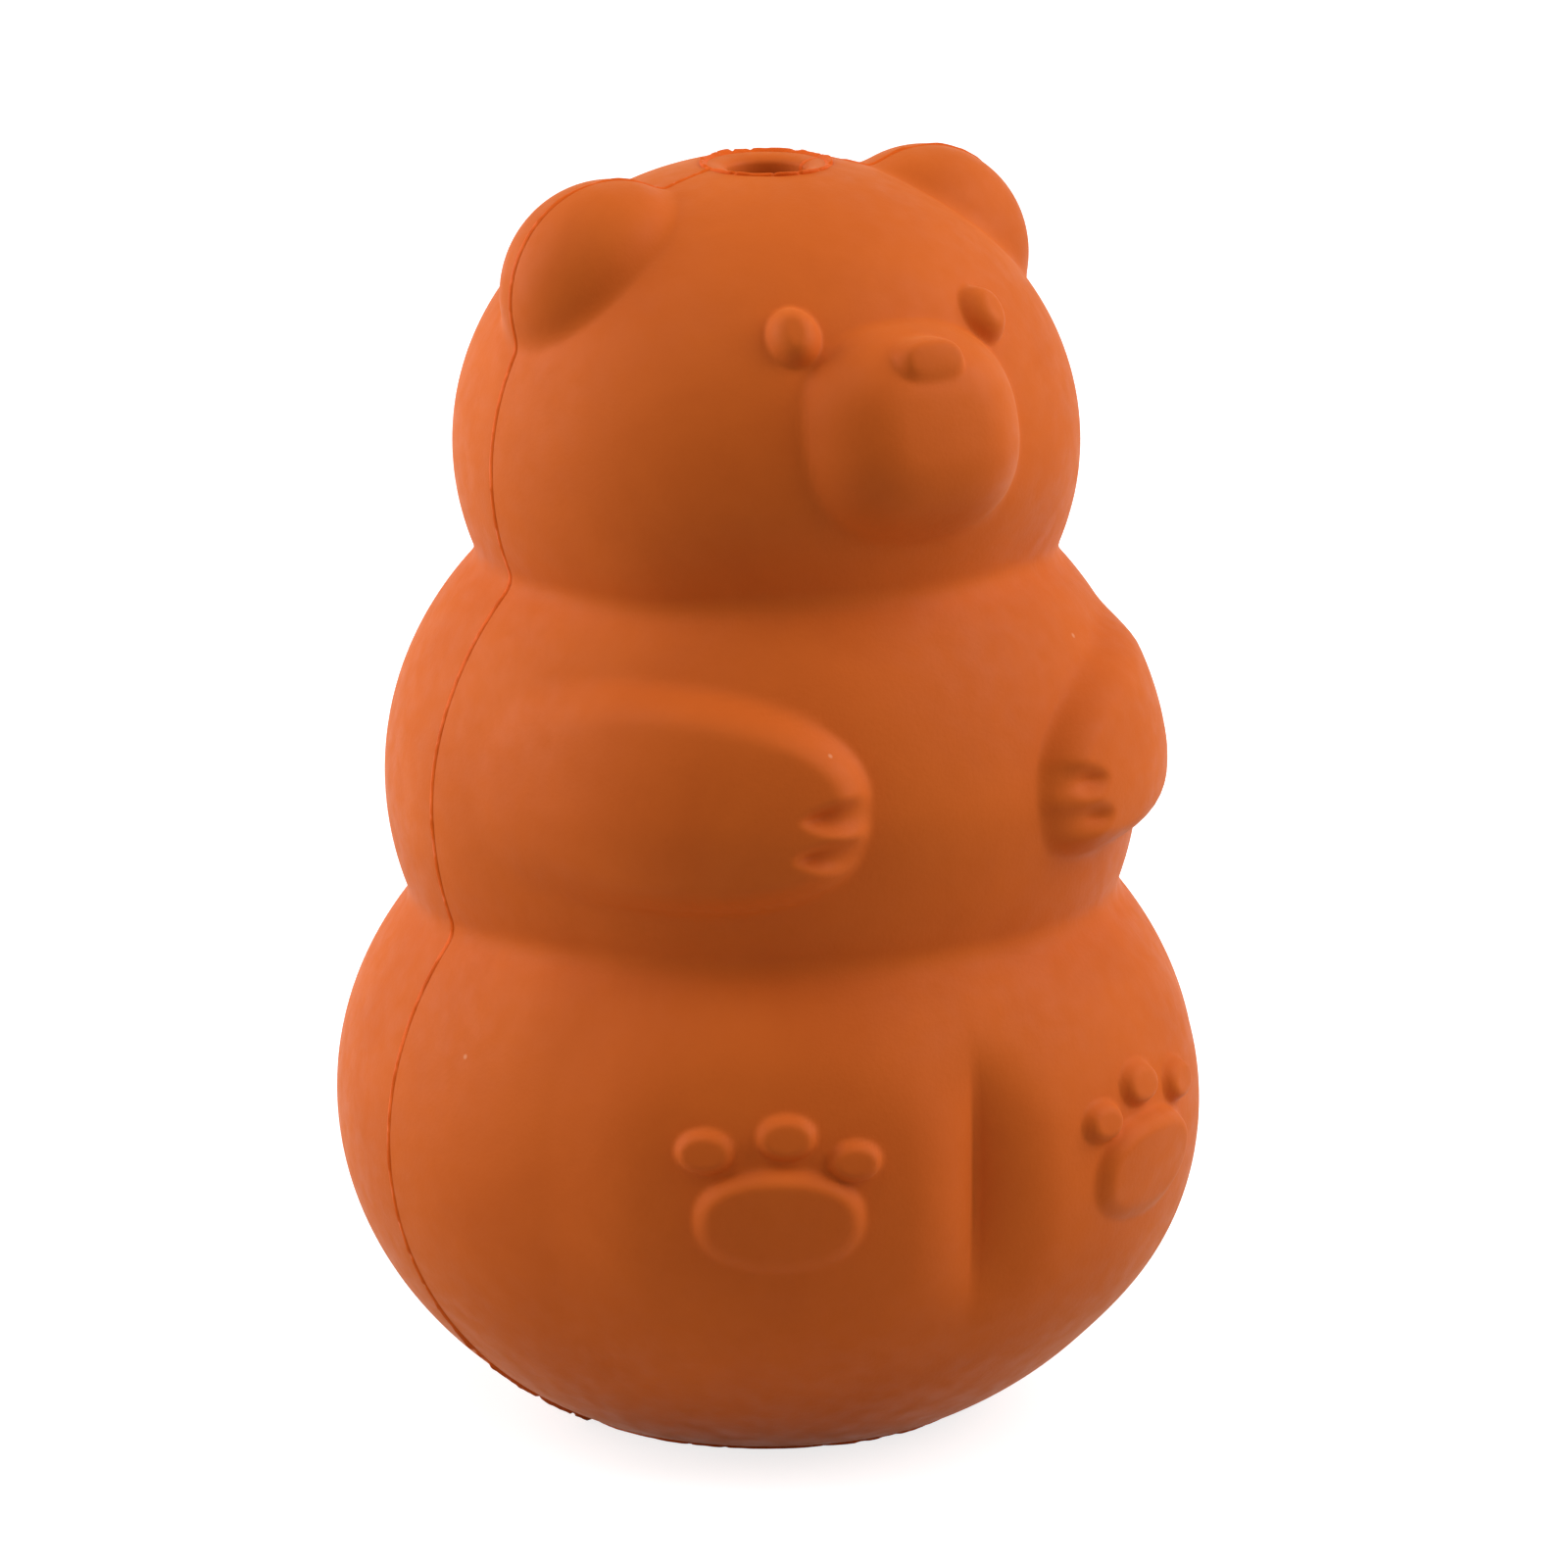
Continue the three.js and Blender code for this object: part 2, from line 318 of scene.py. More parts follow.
def skin_now():
    """The vertices, each at its reach along its ray."""
    return middle + way * reach[:, None]


# %% [markdown]
# ## Belly and chin
# Seen from behind, the lobes are plain rounds. In front, the belly and the chin are tucked in towards
# the creases below them, so each crease there sits a little higher and deeper. The girths are changed
# before they are joined, so that a crease keeps its round. Each pair of numbers says where a tuck starts
# and where it is full: in degrees round from the front, and in heights.

# %% Tucks above the creases
belly_tuck, belly_sides, belly_heights = 0.85, (100, 60), (62, 53)
chin_tuck, chin_sides, chin_heights = 1.1, (60, 25), (head_height, 80)


def joined_girth(belly, chin):
    """The radius of the joined lobes, with the torso and the head drawn in by these depths."""
    low = soft_max(torso.girth(heights) - belly, seat.girth(heights), crease_softness)
    return soft_max(low, head.girth(heights) - chin, crease_softness)


belly = belly_tuck * ease(around, *belly_sides) * ease(heights, *belly_heights)
chin = chin_tuck * ease(around, *chin_sides) * ease(heights, *chin_heights)
drawn_in = joined_girth(0, 0) - joined_girth(belly, chin)
reach = reach - np.where(outer & (heights < head_height), drawn_in, 0)
print(f"creases in front are up to {drawn_in.max():.2f} mm deeper")

# %% [markdown]
# ## Stamps
# Nearly every form on this toy is a low island of rubber: a leg, a muzzle, an eye, a toe. One tool can
# make them all. A stamp raises an oval of skin along its rays, to a flat top. The bevel is how wide its
# rounded edge is, all the way round, and the softness rounds off its foot. A squareness of 2 is an
# ellipse, and more is boxier. A lean makes the upper end stand out more than the lower end.

# %% Stamp
stamp_margin = 3
tiny = 1e-6


def stamp(place, size, rise, bevel, softness, squareness=2.0, tilt=0.0, lean=0.0):
    """The skin's reach after an oval on it has been raised."""
    offset = skin_now() - np.array(place.spot)
    turn = math.radians(tilt)
    side = np.array(place.side) * math.cos(turn) + np.array(place.up) * math.sin(turn)
    up = np.array(place.up) * math.cos(turn) - np.array(place.side) * math.sin(turn)
    half_width, half_height = size[0] / 2, size[1] / 2
    u, v = np.abs(offset @ side) / half_width, np.abs(offset @ up) / half_height
    spread = np.maximum((u ** squareness + v ** squareness) ** (1 / squareness), tiny)
    steep_u = (u / spread) ** (squareness - 1) / half_width
    steep_v = (v / spread) ** (squareness - 1) / half_height
    from_edge = (1 - spread) / np.hypot(steep_u, steep_v)
    fall = np.clip(1 - from_edge / bevel, 0, None)
    lift = soft_max(rise * (1 - fall ** 2), 0, softness)
    lift *= 1 + lean * np.clip(offset @ up / half_height, -1, 1)
    on_this_side = offset @ np.array(place.out) > -min(size) / 2 - stamp_margin
    return reach + np.where(outer & on_this_side, lift, 0)


print(f"faces are about {skin_step / 2:.2f} mm tall at the details, so every bevel is wider than that")

# %% [markdown]
# ## Legs and the groove between them
# The legs are two broad swellings on the lowest lobe, soft all round. Where they meet, the mould has a
# straight, blunt ridge, which leaves a groove with broad rounded lips. The lobe curves away from the
# groove's straight floor, so the groove fades out above and below. Its section is one quadratic curve on
# each side.

# %% Legs and groove
leg_around, leg_climb = 29, -2
leg = dict(size=(34, 35), rise=0.75, bevel=6, softness=1.0, squareness=2.8)
groove_floor, groove_half, groove_lip, groove_softness = 36.0, 7.5, 2.8, 1.0
groove_points = 60
for side in sides:
    reach = stamp(on_lobe(seat, side * leg_around, leg_climb), **leg)
across = np.abs(seat_radius * points[:, 0] / np.maximum(np.hypot(points[:, 0], points[:, 1]), 1))
curve = np.linspace(0, 1, groove_points)
lip_across = 2 * (1 - curve) * curve * groove_lip + curve ** 2 * groove_half
lip_share = np.interp(across, lip_across, (1 - curve) ** 2)
depth = lip_share * soft_max(reach - groove_floor, 0, groove_softness)
on_seat = outer & (heights < waist_height)
reach = reach - np.where(on_seat & (points[:, 1] < 0), depth, 0)
print(f"legs reach {reach[on_seat].max():.2f} mm from the axis")

# %% [markdown]
# ## Muzzle and ears
# The muzzle is a blunt dome, squarer than a circle, and a stamp makes it. An ear is nearly a ball. Where
# the ball reaches farther along a ray than the skin does, it pushes the vertex out, and a softness
# rounds off the place where the two meet.

# %% Muzzle and ears
muzzle_climb = 13.6
muzzle = dict(size=(21.4, 19.2), rise=4.3, bevel=7.5, softness=0.5, squareness=2.4)
ear_centre, ear_radii, ear_softness = np.array((15.9, 0, 103.0)), np.array((9.9, 8.6, 9.9)), 1.1


def ball_reach(centre, radii):
    """How far along each ray the far side of a ball lies, or nothing where the ray misses it."""
    start = (middle - centre) / radii
    along = way / radii
    a = (along ** 2).sum(axis=1)
    b = (start * along).sum(axis=1)
    root = b ** 2 - a * ((start ** 2).sum(axis=1) - 1)
    return np.where(root > 0, (np.sqrt(np.clip(root, 0, None)) - b) / a, 0)


reach = stamp(on_lobe(head, 0, muzzle_climb), **muzzle)
for side in sides:
    ear = ball_reach(ear_centre * (side, 1, 1), ear_radii)
    reach = np.where(outer, soft_max(reach, ear, ear_softness), reach)
print(f"head reaches {reach[outer & (heights > neck_height)].max():.2f} mm")

# %% [markdown]
# ## Arms and fingers
# Each arm lies forward along the torso. Its paw stands clear of the chest, and its shoulder end sinks
# in. The two aren't quite alike: the left one is slimmer, and its paw hangs lower. Two short hollows in
# the end of each paw leave three fingers. A hollow takes away a share of the arm's own rise, so it ends
# where the arm does. Each hollow is placed by its height and its degrees round from the front, and the
# pairs of degrees say where the bevel widens and where the shoulder rises.

# %% Arms and fingers
arms = {
    -1: dict(around=48.5, climb=9.7, tilt=1.7, size=(37.4, 19.7), gap_width=3.4, gap_depth=0.5),
    1: dict(around=47.0, climb=12.2, tilt=10.6, size=(36.3, 16.8), gap_width=4.2, gap_depth=0.42),
}
arm_form = dict(rise=2.8, softness=0.9, squareness=2.45)
paw_bevel, bevel_growth, bevel_growth_sides = 2.9, 1.85, (46, 68)
shoulder_sides = (85, 36)
finger_gaps, gap_length = [(62.3, 17.5), (58.9, 18.5)], 9.0
gap_form = dict(rise=1.0, softness=0.5, squareness=1.6)
arm_bevel = paw_bevel + bevel_growth * ease(around, *bevel_growth_sides)
for side, arm in arms.items():
    place = on_lobe(torso, side * arm["around"], arm["climb"])
    lift = stamp(place, arm["size"], bevel=arm_bevel, tilt=side * arm["tilt"], **arm_form) - reach
    gap_size = (gap_length, arm["gap_width"])
    for gap_height, gap_around in finger_gaps:
        gap_climb = math.degrees(math.asin((gap_height - torso_height) / torso.high_reach))
        gap_place = on_lobe(torso, side * gap_around, gap_climb)
        gap = stamp(gap_place, gap_size, bevel=arm["gap_width"] / 2, **gap_form) - reach
        lift = lift * (1 - arm["gap_depth"] * gap)
    reach = reach + lift * ease(around, *shoulder_sides)
print(f"arms reach {reach[outer & (heights > waist_height) & (heights < neck_height)].max():.2f} mm")

# %% [markdown]
# ## Eyes and nose
# The eyes are steep little domes. The nose is a small plate that looks forward, so its upper edge stands
# out from the sloping muzzle and its lower edge is flush. It is set on the muzzle's own front line, so
# that it follows the muzzle if that changes.

# %% Eyes and nose
eye_tilt = 12
eye = dict(size=(4.8, 5.8), rise=1.7, bevel=1.9, softness=0.2)
nose_height, nose_out = 100.3, (0, -1, 0.1)
nose = dict(size=(6.7, 3.9), rise=1.2, bevel=1.1, softness=0.25, squareness=2.3, lean=1.1)
front_strip = 0.4
for side in sides:
    reach = stamp(on_lobe(head, side * eye_around, eye_climb), tilt=-side * eye_tilt, **eye)
front = skin_now()[outer & (np.abs(points[:, 0]) < front_strip) & (points[:, 1] < 0)]
front = front[np.argsort(front[:, 2])]
nose_front = np.interp(nose_height, front[:, 2], front[:, 1])
reach = stamp(Place((0, nose_front, nose_height), nose_out), **nose)
print(f"the nose sits {-nose_front:.1f} mm in front of the axis")

# %% [markdown]
# ## Paw prints
# The pad and the three toes of the print on each sole are flat buttons with a round rim. The toes are
# placed round the pad, each by its degrees aside from the print's middle, its degrees up and its size.

# %% Paw prints
pad_around, pad_climb = 28.4, -2.8
pad = dict(size=(15.0, 9.8), rise=1.05, bevel=1.7, softness=0.25, squareness=2.25, lean=0.6)
print_around = 28
toes = [(-9.2, 6.4, (4.9, 3.8)), (-0.5, 10.3, (5.4, 4.1)), (9.9, 8.0, (5.3, 4.1))]
toe_form = dict(rise=1.05, bevel=1.0, softness=0.2, squareness=2.1)
for side in sides:
    reach = stamp(on_lobe(seat, side * pad_around, pad_climb), **pad)
    for turn, climb, size in toes:
        reach = stamp(on_lobe(seat, side * (print_around + turn), climb), size, **toe_form)
for vertex, spot in zip(skin.verts, skin_now()):
    vertex.co = spot
print(f"skin now reaches {reach[outer].max():.2f} mm, volume {skin.calc_volume() / MILLILITRE:.1f} ml")

# %% [markdown]
# ## Two halves of skin
# The rubber came out of two mould halves, so the skin is cut in two along the parting line, with a
# narrow gap left for the flash. Bisecting a copy of the whole skin keeps both halves in line with each
# other.

# %% Front and rear skin
def finish_piece(bm, name):
    """A piece in metres from a mesh in millimetres, standing where the mesh stands."""
    open_edges = sum(not e.is_manifold for e in bm.edges)
    bmesh.ops.scale(bm, vec=Vector((METRES,) * 3), verts=bm.verts)
    mesh = bpy.data.meshes.new(name)
    bm.to_mesh(mesh)
    bm.free()
    mesh.shade_smooth()
    piece = bpy.data.objects.new(name, mesh)
    bpy.context.scene.collection.objects.link(piece)
    triangles = sum(len(face.vertices) - 2 for face in mesh.polygons)
    print(f"{name}: {triangles} triangles, {open_edges} open edges")
    return piece


def half_skin(direction):
    """The part of the skin in front of or behind the seam, with its cut closed."""
    bm = skin.copy()
    cut = bmesh.ops.bisect_plane(
        bm, geom=[*bm.verts, *bm.edges, *bm.faces], dist=1e-5,
        plane_co=(0, direction * half_seam, 0), plane_no=(0, -direction, 0), clear_outer=True,
    )
    rim = [e for e in cut["geom_cut"] if isinstance(e, bmesh.types.BMEdge)]
    bmesh.ops.edgenet_fill(bm, edges=rim)
    for edge in rim:
        edge.smooth = False
    return bm


pieces = {
    "front_shell": finish_piece(half_skin(-1), "front_skin"),
    "rear_shell": finish_piece(half_skin(1), "rear_skin"),
}

# %% [markdown]
# ## Seams
# Where the mould halves met, a thin web of rubber squeezed out and was trimmed, which leaves a low
# ragged ridge. The ridge follows the skin's own section, taken at the middle plane, so it runs over ears
# and creases alike. Blender's noise makes the raggedness, because it gives the same edge on every run.

# %% Section of the wall
def on_outside(place):
    """Whether a point of the section is on the outside of the wall, not in the bore or the chamber."""
    return abs(place.x) > max(float(part.girth(place.z)) for part in lobes) - wall / 2


def wall_section(side):
    """The closed outline of the wall at the middle plane, on one side of the body."""
    bm = skin.copy()
    bmesh.ops.bisect_plane(
        bm, geom=[*bm.verts, *bm.edges, *bm.faces], dist=1e-4,
        plane_co=(0, 0, 0), plane_no=(0, 1, 0), clear_inner=True, clear_outer=True,
    )
    bmesh.ops.delete(bm, geom=[v for v in bm.verts if v.co.x * side < 0], context="VERTS")
    rim = [e for e in bm.edges if all(on_outside(v.co) for v in e.verts)]
    bmesh.ops.subdivide_edges(bm, edges=rim, cuts=2)
    return bm


sections = {side: wall_section(side) for side in sides}
print("points in each section of the wall:", [len(bm.verts) for bm in sections.values()])

# %% [markdown]
# ### The ridge on the section
# The section is extruded across the gap in a few steps, and the middle of the strip is raised into a
# ridge. It is nearly flush on the body, stands out in scallops low down, and is left flush inside the
# crown's mouth.

# %% Seam ridges
seam_profile = {-1.0: 0.0, -0.45: 0.2, 0.0: 1.0, 0.45: 0.2, 1.0: 0.0}
ridge_height, low_ridge_height, low_stretch = 0.26, 0.6, (8, 20)
ridge_grain, ridge_seed = 2.6, 3.7
fine_scallops, fine_share = 3.1, 0.3
nick_spacing, nick_width, nick_floor = 0.9, 0.12, 0.35


def ragged(place, grain, seed):
    """A height from 0 to 1 that scallops along a trimmed edge, with short nicks."""
    at = Vector(place) / grain
    broad = 0.5 + 0.5 * noise.noise(at + Vector((seed, 0, 0)))
    fine = 0.5 + 0.5 * noise.noise(at * fine_scallops + Vector((0, seed, 0)))
    nick = ease(abs(noise.noise(at * nick_spacing + Vector((0, 0, seed)))), 0.0, nick_width)
    return float(((1 - fine_share) * broad + fine_share * fine) * (nick_floor + (1 - nick_floor) * nick))


def outward(v):
    """The way out of the wall at a corner of its section."""
    one, other = (e.other_vert(v).co for e in v.link_edges)
    along = (other - one).normalized()
    out = Vector((along.z, 0, -along.x))
    heart = min(max(v.co.z, seat_height), head_height)
    return out if out.dot(Vector((v.co.x, 0, v.co.z - heart))) > 0 else -out


def spot_key(v):
    """A corner's place in the section, the same at every step across."""
    return round(v.co.x, 4), round(v.co.z, 4)


def seam_ridge(bm):
    """The seam's web, extruded from a section of the wall, with its ridge."""
    out = {spot_key(v): outward(v) for v in bm.verts}
    levels = list(seam_profile)
    bmesh.ops.translate(bm, vec=(0, levels[0] * half_seam, 0), verts=bm.verts)
    loop = bm.edges[:]
    for before, level in zip(levels, levels[1:]):
        made = bmesh.ops.extrude_edge_only(bm, edges=loop)["geom"]
        loop = [e for e in made if isinstance(e, bmesh.types.BMEdge)]
        moved = [v for v in made if isinstance(v, bmesh.types.BMVert)]
        bmesh.ops.translate(bm, vec=(0, (level - before) * half_seam, 0), verts=moved)
    bmesh.ops.holes_fill(bm, edges=[e for e in bm.edges if e.is_boundary], sides=0)
    for v in bm.verts:
        level = min(levels, key=lambda y: abs(y * half_seam - v.co.y))
        if on_outside(v.co) and abs(v.co.x) > crown_rim:
            low = 1 - float(ease(v.co.z, *low_stretch))
            height = ridge_height + (low_ridge_height - ridge_height) * low
            height *= ragged((v.co.x, 0, v.co.z), ridge_grain, ridge_seed)
            v.co += out[spot_key(v)] * seam_profile[level] * height
            v.co.z = max(v.co.z, 0)
    bmesh.ops.recalc_face_normals(bm, faces=bm.faces)
    return bm


for side, node in zip(sides, ("right_seam", "left_seam")):
    pieces[node] = finish_piece(seam_ridge(sections[side]), f"{node}_ridge")

# %% [markdown]
# ## Flash rings
# The core that made the hollow leaves a ring of flash round each of its ends: a torn lip round the crown
# hole, and a thin overhanging edge under the base. Each is one small outline, spun, and then torn. The
# last number of each point says how much of the tear it takes.

# %% Crown and base flash
lip_inner = bore_radius + dish_flare
ring_gap = 0.05
tear_middle = 0.4
crown_lip = [
    (lip_inner + ring_gap, crown_height - 0.06, 0),
    (crown_rim + 0.06, crown_height - 0.35, 0),
    (crown_rim + 0.06, crown_height + 0.05, 0.3),
    (crown_rim, crown_height + 0.18, 1),
    (crown_rim - 0.15, crown_height + 0.24, 1),
    (crown_rim - 0.34, crown_height + 0.18, 0.8),
    (lip_inner + 0.14, crown_height + 0.04, 0.1),
]
base_edge = [
    (rebate_radius + ring_gap, 0.0, 0),
    (base_rim, 0.0, 0.2),
    (base_reach, 0.1, 1),
    (base_reach + 0.06, 0.25, 1),
    (base_reach - 0.1, flash_height - 0.04, 1),
    (base_rim, flash_height, 0.2),
    (rebate_radius + ring_gap, flash_height, 0),
]


def torn_ring(outline, steps, tear, grain, seed):
    """A ring spun from points of radius, height and looseness, torn outwards and upwards."""
    bm = spun([(r, z) for r, z, loose in outline], steps)
    looseness = {(round(r, 3), round(z, 3)): loose for r, z, loose in outline}
    for v in bm.verts:
        r = math.hypot(v.co.x, v.co.y)
        loose = looseness[round(r, 3), round(v.co.z, 3)]
        share = loose * (ragged((v.co.x, v.co.y, 0), grain, seed) - tear_middle)
        v.co += Vector((v.co.x / r * tear[0], v.co.y / r * tear[0], tear[1])) * share
    return bm


crown_ring = torn_ring(crown_lip, steps=540, tear=(0.5, 0.4), grain=2.6, seed=1.9)
base_ring = torn_ring(base_edge, steps=720, tear=(0.7, 0.0), grain=3.2, seed=5.3)
pieces["crown_flash"] = finish_piece(crown_ring, "crown_flash_ring")
pieces["base_flash"] = finish_piece(base_ring, "base_flash_ring")

# %% [markdown]
# ## Effects that the finishes share
# The rubber and its flash are one material, cut differently. Three effects make both: a fine grain, a
# slow mottle in the colour, and the marks of handling. Each is a node group, so that a finish only sets
# its own values. Two helpers keep the node code short. A Mix node has sockets for several kinds of value
# under the same names, so the ones used here are named by their place.

# %% Node helpers
MIX_FACTOR, MIX_VALUE_A, MIX_VALUE_B = 0, 2, 3
MIX_COLOUR_A, MIX_COLOUR_B, MIXED_COLOUR = 6, 7, 2


def new_group(name, inputs, outputs):
    """An empty node group with its sockets, and its two end nodes."""
    group = bpy.data.node_groups.new(name, "ShaderNodeTree")
    for label, kind, value in inputs:
        socket = group.interface.new_socket(name=label, in_out="INPUT", socket_type=f"NodeSocket{kind}")
        if value is not None:
            socket.default_value = value
    for label, kind in outputs:
        group.interface.new_socket(name=label, in_out="OUTPUT", socket_type=f"NodeSocket{kind}")
    return group, group.nodes.new("NodeGroupInput").outputs, group.nodes.new("NodeGroupOutput").inputs


def add_node(tree, kind, links=None, **values):
    """A node with settings by name, and inputs that are linked or set."""
    node = tree.nodes.new(f"ShaderNode{kind}")
    for key, value in values.items():
        setattr(node, key, value)
    for key, value in (links or {}).items():
        if isinstance(value, bpy.types.NodeSocket):
            tree.links.new(value, node.inputs[key])
        else:
            node.inputs[key].default_value = value
    return node


# %% [markdown]
# ### Mould grain
# The mould was blasted with grit, which leaves the rubber matt and finely grained. Two sizes of noise
# give the height for a bump, and the broader one makes the roughness a little uneven as well. Modelled
# grain would cost millions of faces.

# %% Mould grain
grain_group, source, result = new_group(
    "mould_grain",
    [("Vector", "Vector", None), ("Fine Scale", "Float", 2400), ("Broad Scale", "Float", 500)],
    [("Height", "Float"), ("Roughness", "Float")],
)
fine = add_node(grain_group, "TexNoise", {
    "Vector": source["Vector"], "Scale": source["Fine Scale"], "Detail": 3.0, "Roughness": 0.6,
})
broad = add_node(grain_group, "TexNoise", {
    "Vector": source["Vector"], "Scale": source["Broad Scale"], "Detail": 2.0,
})
grain_height = add_node(grain_group, "Mix", {
    MIX_FACTOR: 0.35, MIX_VALUE_A: fine.outputs["Fac"], MIX_VALUE_B: broad.outputs["Fac"],
})
shine = add_node(grain_group, "MapRange", {
    "Value": broad.outputs["Fac"], "From Min": 0.3, "From Max": 0.7, "To Min": 0.52, "To Max": 0.66,
})
grain_group.links.new(grain_height.outputs[0], result["Height"])
grain_group.links.new(shine.outputs[0], result["Roughness"])
print("mould_grain:", len(grain_group.nodes), "nodes")

# %% [markdown]
# ### Colour mottle
# The colour is mixed into the raw rubber and never quite evenly. A cloudy noise slides between a deep
# and a light tone, close enough that nobody sees a pattern, only a surface that isn't flat.

# %% Colour mottle
mottle_group, source, result = new_group(
    "colour_mottle",
    [
        ("Vector", "Vector", None), ("Scale", "Float", 70),
        ("Deep Colour", "Color", (0.5, 0.1, 0.01, 1)), ("Light Colour", "Color", (0.7, 0.1, 0.01, 1)),
    ],
    [("Color", "Color")],
)
cloud = add_node(mottle_group, "TexNoise", {
    "Vector": source["Vector"], "Scale": source["Scale"], "Detail": 4.0, "Roughness": 0.55, "Distortion": 0.4,
})
contrast = add_node(mottle_group, "MapRange", {
    "Value": cloud.outputs["Fac"], "From Min": 0.3, "From Max": 0.7,
})
tone = add_node(mottle_group, "Mix", {
    MIX_FACTOR: contrast.outputs[0],
    MIX_COLOUR_A: source["Deep Colour"], MIX_COLOUR_B: source["Light Colour"],
}, data_type="RGBA")
mottle_group.links.new(tone.outputs[MIXED_COLOUR], result["Color"])
print("colour_mottle:", len(mottle_group.nodes), "nodes")

# %% [markdown]
# ### Handling marks
# A toy that has been handled picks up pale specks of dust and a few faint scratches. The specks are the
# middles of a few cells of a Voronoi texture. The scratches are the edges of long, stretched cells, kept
# only where a slow noise is high, so that they stay rare.

# %% Handling marks
marks_group, source, result = new_group(
    "handling_marks",
    [("Vector", "Vector", None), ("Speck Scale", "Float", 170), ("Scratch Scale", "Float", 60)],
    [("Mask", "Float")],
)
cells = add_node(marks_group, "TexVoronoi", {"Vector": source["Vector"], "Scale": source["Speck Scale"]})
pick = add_node(marks_group, "SeparateColor", {0: cells.outputs["Color"]})
rare = add_node(marks_group, "Math", {0: pick.outputs[0], 1: 0.93}, operation="GREATER_THAN")
dot = add_node(marks_group, "MapRange", {
    "Value": cells.outputs["Distance"], "From Min": 0.02, "From Max": 0.05, "To Min": 0.7, "To Max": 0.0,
})
speck = add_node(marks_group, "Math", {0: rare.outputs[0], 1: dot.outputs[0]}, operation="MULTIPLY")
turned = add_node(marks_group, "Mapping", {
    "Vector": source["Vector"], "Rotation": (0.5, 0.3, 0.4), "Scale": (0.12, 1.0, 1.0),
})
lines = add_node(marks_group, "TexVoronoi", {
    "Vector": turned.outputs[0], "Scale": source["Scratch Scale"],
}, feature="DISTANCE_TO_EDGE")
thin = add_node(marks_group, "MapRange", {
    "Value": lines.outputs["Distance"], "From Min": 0.0, "From Max": 0.008, "To Min": 0.16, "To Max": 0.0,
})
patches = add_node(marks_group, "TexNoise", {"Vector": source["Vector"], "Scale": 90.0, "Detail": 1.0})
few = add_node(marks_group, "MapRange", {"Value": patches.outputs["Fac"], "From Min": 0.72, "From Max": 0.8})
scratch = add_node(marks_group, "Math", {0: thin.outputs[0], 1: few.outputs[0]}, operation="MULTIPLY")
mask = add_node(marks_group, "Math", {0: speck.outputs[0], 1: scratch.outputs[0]}, operation="MAXIMUM")
marks_group.links.new(mask.outputs[0], result["Mask"])
print("handling_marks:", len(marks_group.nodes), "nodes")

# %% [markdown]
# ## Orange rubber and its flash
# Natural rubber is matt and deeply coloured. A white room shows in it as a pale sheen at the edges,
# which the shader's own sheen gives, with little other gloss. The flash is thinner and freshly cut, so
# it is deeper in colour. Its colour is also made lighter, a painted light against the shade that its
# thin ridges and the base's edge fall in.

# %% Two finishes
rubber_gloss = {
    "Specular IOR Level": 0.1,
    "Sheen Weight": 0.06,
    "Sheen Roughness": 0.45,
    "Sheen Tint": (0.9, 1.0, 0.4, 1),
}
bump_depth = 0.0003


def rubber_finish(name, deep, light, dusty, mottle, bump):
    """A rubber of two tones and the colour of its dust, with a mottle's scale and a bump's strength."""
    material = bpy.data.materials.new(name)
    material.use_nodes = True
    tree = material.node_tree
    shader = tree.nodes["Principled BSDF"]
    for socket, value in rubber_gloss.items():
        shader.inputs[socket].default_value = value
    place = add_node(tree, "TexCoord").outputs["Object"]
    grain = add_node(tree, "Group", node_tree=grain_group)
    colour = add_node(tree, "Group", node_tree=mottle_group)
    marks = add_node(tree, "Group", node_tree=marks_group)
    for group in (grain, colour, marks):
        tree.links.new(place, group.inputs["Vector"])
    colour.inputs["Scale"].default_value = mottle
    colour.inputs["Deep Colour"].default_value = (*deep, 1)
    colour.inputs["Light Colour"].default_value = (*light, 1)
    marked = add_node(tree, "Mix", {
        MIX_FACTOR: marks.outputs["Mask"], MIX_COLOUR_A: colour.outputs["Color"], MIX_COLOUR_B: (*dusty, 1),
    }, data_type="RGBA")
    bumps = add_node(tree, "Bump", {
        "Height": grain.outputs["Height"], "Strength": bump, "Distance": bump_depth,
    })
    tree.links.new(marked.outputs[MIXED_COLOUR], shader.inputs["Base Color"])
    tree.links.new(grain.outputs["Roughness"], shader.inputs["Roughness"])
    tree.links.new(bumps.outputs["Normal"], shader.inputs["Normal"])
    return material


orange_rubber = rubber_finish(
    "orange_rubber", deep=(0.59, 0.108, 0.0113), light=(0.65, 0.125, 0.0137), dusty=(0.75, 0.3, 0.14),
    mottle=70, bump=0.12,
)
# The flash's tones are deeper than the rubber's, and also lightened: painted light for its shaded ridges and
# edge.
orange_flash = rubber_finish(
    "orange_flash", deep=(0.66, 0.090, 0.0030), light=(0.74, 0.110, 0.0050), dusty=(0.74, 0.18, 0.05),
    mottle=300, bump=0.3,
)
for node, piece in pieces.items():
    skin_piece = node.endswith("_shell")
    piece.data.materials.append(orange_rubber if skin_piece else orange_flash)
    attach(piece, "root")
    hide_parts(node)
print(len(pieces), "pieces dressed")

# %% [markdown]
# ## Studio
# The photograph has a large soft box behind the toy on the left, another in front on the right, a
# smaller one above, and little light from the camera's side, so the middle of the body is darker than
# its edges. Area lamps give the same broad, soft-edged light.

# %% Lamps
lamp_distance = 0.6
lamp_aim = Vector((0, 0, 0.06))


